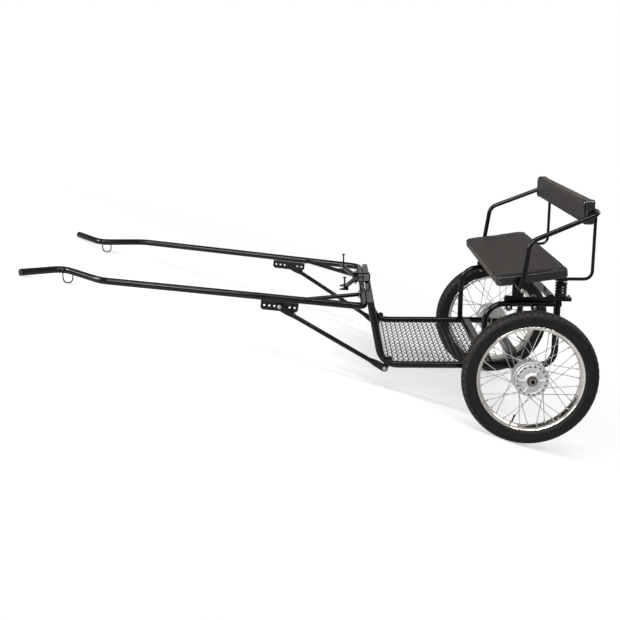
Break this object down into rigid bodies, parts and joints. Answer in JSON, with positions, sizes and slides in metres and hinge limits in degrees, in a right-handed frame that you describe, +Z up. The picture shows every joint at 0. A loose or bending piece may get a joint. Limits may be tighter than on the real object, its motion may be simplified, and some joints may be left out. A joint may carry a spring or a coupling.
{
  "type": "two-wheel pony cart",
  "caption": "Light two-wheel steel pony cart with a sprung bench seat, wire wheels, a mesh floor and a pair of shafts, parked nose down on its shafts.",
  "frame": {"origin": "on the ground under the middle of the parked cart's length and width", "axes": "+X forward towards the shaft tips, +Y to the driver's left, +Z up; the wheels' axes run along Y, and the cart stands pitched 18.7 degrees nose down on its shaft tips"},
  "size_m": [2.6073, 1.298, 1.1269],
  "materials": {
    "black_steel": "gloss black enamel",
    "zinc": "zinc plated",
    "tyre": "black rubber with a road tread",
    "rim": "polished",
    "hub": "cast, satin",
    "vinyl": "black vinyl over foam",
    "board": "plywood painted black"
  },
  "bodies": {
    "frame": {"side_frame_left": "black_steel", "side_frame_right": "black_steel", "arch_left": "black_steel", "arch_right": "black_steel", "front_crossbar": "black_steel", "floor_crossbar": "black_steel", "floor_mesh": "black_steel", "axle_beam": "black_steel", "axle_nut_left": "zinc", "axle_nut_right": "zinc", "axle_clamp_left": "zinc", "axle_clamp_right": "zinc", "shaft_left": "black_steel", "shaft_right": "black_steel", "shaft_crossbar": "black_steel", "adjuster_plate_left": "black_steel", "adjuster_plate_right": "black_steel", "lower_brace_left": "black_steel", "lower_brace_right": "black_steel", "inner_brace_left": "black_steel", "inner_brace_right": "black_steel", "clevis": "black_steel", "pivot_bolt": "zinc", "seat_bar_left": "black_steel", "seat_bar_right": "black_steel", "seat_tie": "black_steel", "seat_frame": "black_steel", "spring_left": "black_steel", "spring_right": "black_steel", "seat_board": "board", "seat_cushion": "vinyl", "arm_hoop": "black_steel", "back_post_left": "black_steel", "back_post_right": "black_steel", "back_board": "board", "backrest_cushion": "vinyl"},
    "wheel_left": {"tyre_left": "tyre", "rim_left": "rim", "spoked_hub_left": "hub"},
    "wheel_right": {"tyre_right": "tyre", "rim_right": "rim", "spoked_hub_right": "hub"},
    "singletree": {"singletree": "black_steel", "trace_pin_left": "black_steel", "trace_pin_right": "black_steel"}
  },
  "joints": [
    {"name": "wheel_left_spin", "type": "hinge", "parent": "frame", "child": "wheel_left", "pos_m": [-0.99872, 0.575, 0.305], "axis": [0, 1, 0], "continuous": true},
    {"name": "wheel_right_spin", "type": "hinge", "parent": "frame", "child": "wheel_right", "pos_m": [-0.99872, -0.575, 0.305], "axis": [0, 1, 0], "continuous": true},
    {"name": "singletree_swing", "type": "hinge", "parent": "frame", "child": "singletree", "pos_m": [-0.16216, 0, 0.38115], "axis": [0.3206, 0, 0.9472], "range_deg": [-20, 20]}
  ]
}
